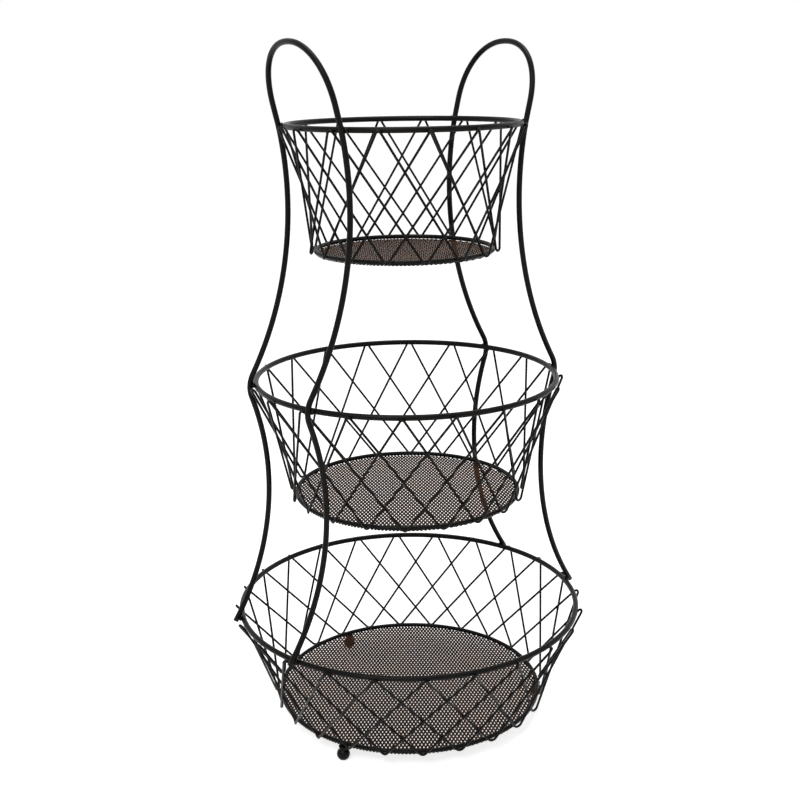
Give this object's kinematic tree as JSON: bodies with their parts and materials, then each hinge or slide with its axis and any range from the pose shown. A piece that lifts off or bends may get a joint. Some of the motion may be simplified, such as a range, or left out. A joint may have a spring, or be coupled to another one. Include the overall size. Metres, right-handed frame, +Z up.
{
  "type": "three-tier wire fruit basket stand",
  "caption": "Free-standing stand of round lattice-sided wire baskets that get wider downwards, between two welded side frames with loop handles.",
  "frame": {"origin": "on the surface that the stand rests on, below the common centre of the baskets", "axes": "+Z up; X runs from the left to the right handle loop"},
  "size_m": [0.3332, 0.3332, 0.6256],
  "materials": {
    "wire": "satin dark bronze powder coat on steel wire",
    "mesh": "satin taupe-brown paint on fine steel mesh",
    "foot": "satin black paint"
  },
  "bodies": {
    "root": {"left_handle_frame": "wire", "right_handle_frame": "wire", "top_rim": "wire", "top_base_ring": "wire", "top_mesh_floor": "mesh", "top_weave_wire_1": "wire", "top_weave_wire_2": "wire", "top_weave_wire_3": "wire", "top_weave_wire_4": "wire", "middle_rim": "wire", "middle_base_ring": "wire", "middle_mesh_floor": "mesh", "middle_weave_wire_1": "wire", "middle_weave_wire_2": "wire", "middle_weave_wire_3": "wire", "middle_weave_wire_4": "wire", "bottom_rim": "wire", "bottom_base_ring": "wire", "bottom_mesh_floor": "mesh", "bottom_weave_wire_1": "wire", "bottom_weave_wire_2": "wire", "bottom_weave_wire_3": "wire", "bottom_weave_wire_4": "wire", "ball_foot_1": "foot", "ball_foot_2": "foot", "ball_foot_3": "foot"}
  },
  "joints": []
}
